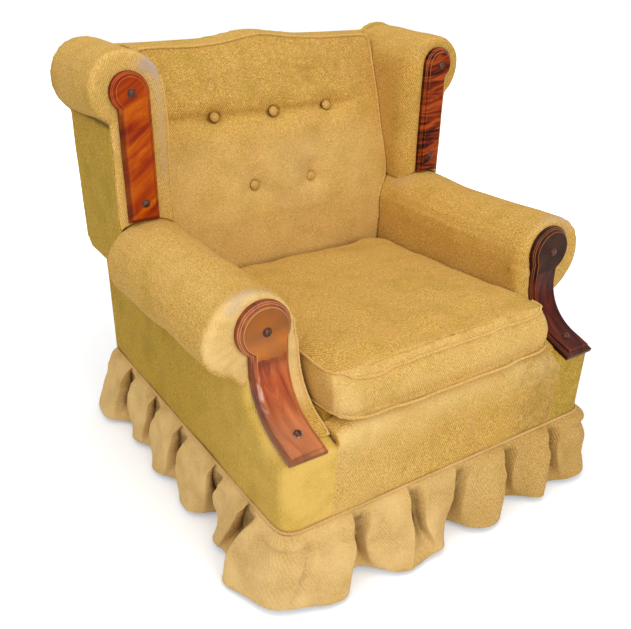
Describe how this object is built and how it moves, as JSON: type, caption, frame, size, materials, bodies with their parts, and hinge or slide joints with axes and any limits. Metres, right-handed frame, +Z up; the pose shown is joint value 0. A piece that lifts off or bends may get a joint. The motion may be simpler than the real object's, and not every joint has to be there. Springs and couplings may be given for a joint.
{
  "type": "armchair",
  "caption": "Upholstered wing armchair with rolled arms, screwed wooden facings, a sagging loose seat cushion and a pleated skirt.",
  "frame": {"origin": "on the floor, at the middle of the chair's footprint", "axes": "+Z up, the chair faces -Y, +X to the viewer's right"},
  "size_m": [0.9556, 0.9456, 0.925],
  "materials": {
    "tweed": "coarse woven wool tweed, worn and faded",
    "skirt_tweed": "paler, dusty woven wool tweed",
    "varnished_wood": "glossy reddish brown varnish",
    "frame_wood": "sawn, unfinished",
    "spring_steel": "plain drawn wire",
    "screw_steel": "dark browned steel with worn rims",
    "jute": "plain woven jute",
    "black_cloth": "thin black dust cloth"
  },
  "bodies": {
    "root": {"arm_board_left": "frame_wood", "arm_board_right": "frame_wood", "arm_facing_left": "varnished_wood", "arm_facing_right": "varnished_wood", "arm_pad_left": "tweed", "arm_pad_right": "tweed", "arm_screw_lower_left": "screw_steel", "arm_screw_lower_right": "screw_steel", "arm_screw_upper_left": "screw_steel", "arm_screw_upper_right": "screw_steel", "back_pad": "tweed", "back_post_left": "frame_wood", "back_post_right": "frame_wood", "back_rail": "frame_wood", "back_stay_rail": "frame_wood", "back_webbing": "jute", "button_lower_left": "tweed", "button_lower_right": "tweed", "button_upper_left": "tweed", "button_upper_middle": "tweed", "button_upper_right": "tweed", "corner_block_front_left": "frame_wood", "corner_block_front_right": "frame_wood", "corner_block_rear_left": "frame_wood", "corner_block_rear_right": "frame_wood", "crest_rail": "frame_wood", "dust_cover": "black_cloth", "front_border": "tweed", "front_post_left": "frame_wood", "front_post_right": "frame_wood", "front_rail": "frame_wood", "leg_front_left": "frame_wood", "leg_front_right": "frame_wood", "leg_rear_left": "frame_wood", "leg_rear_right": "frame_wood", "outside_arm_left": "tweed", "outside_arm_right": "tweed", "outside_back": "tweed", "outside_wing_left": "tweed", "outside_wing_right": "tweed", "seat_cushion": "tweed", "seat_deck": "jute", "seat_spring_1": "spring_steel", "seat_spring_2": "spring_steel", "seat_spring_3": "spring_steel", "seat_spring_4": "spring_steel", "side_rail_left": "frame_wood", "side_rail_right": "frame_wood", "skirt": "skirt_tweed", "wing_facing_left": "varnished_wood", "wing_facing_right": "varnished_wood", "wing_frame_left": "frame_wood", "wing_frame_right": "frame_wood", "wing_pad_left": "tweed", "wing_pad_right": "tweed", "wing_screw_lower_left": "screw_steel", "wing_screw_lower_right": "screw_steel", "wing_screw_upper_left": "screw_steel", "wing_screw_upper_right": "screw_steel"}
  },
  "joints": []
}
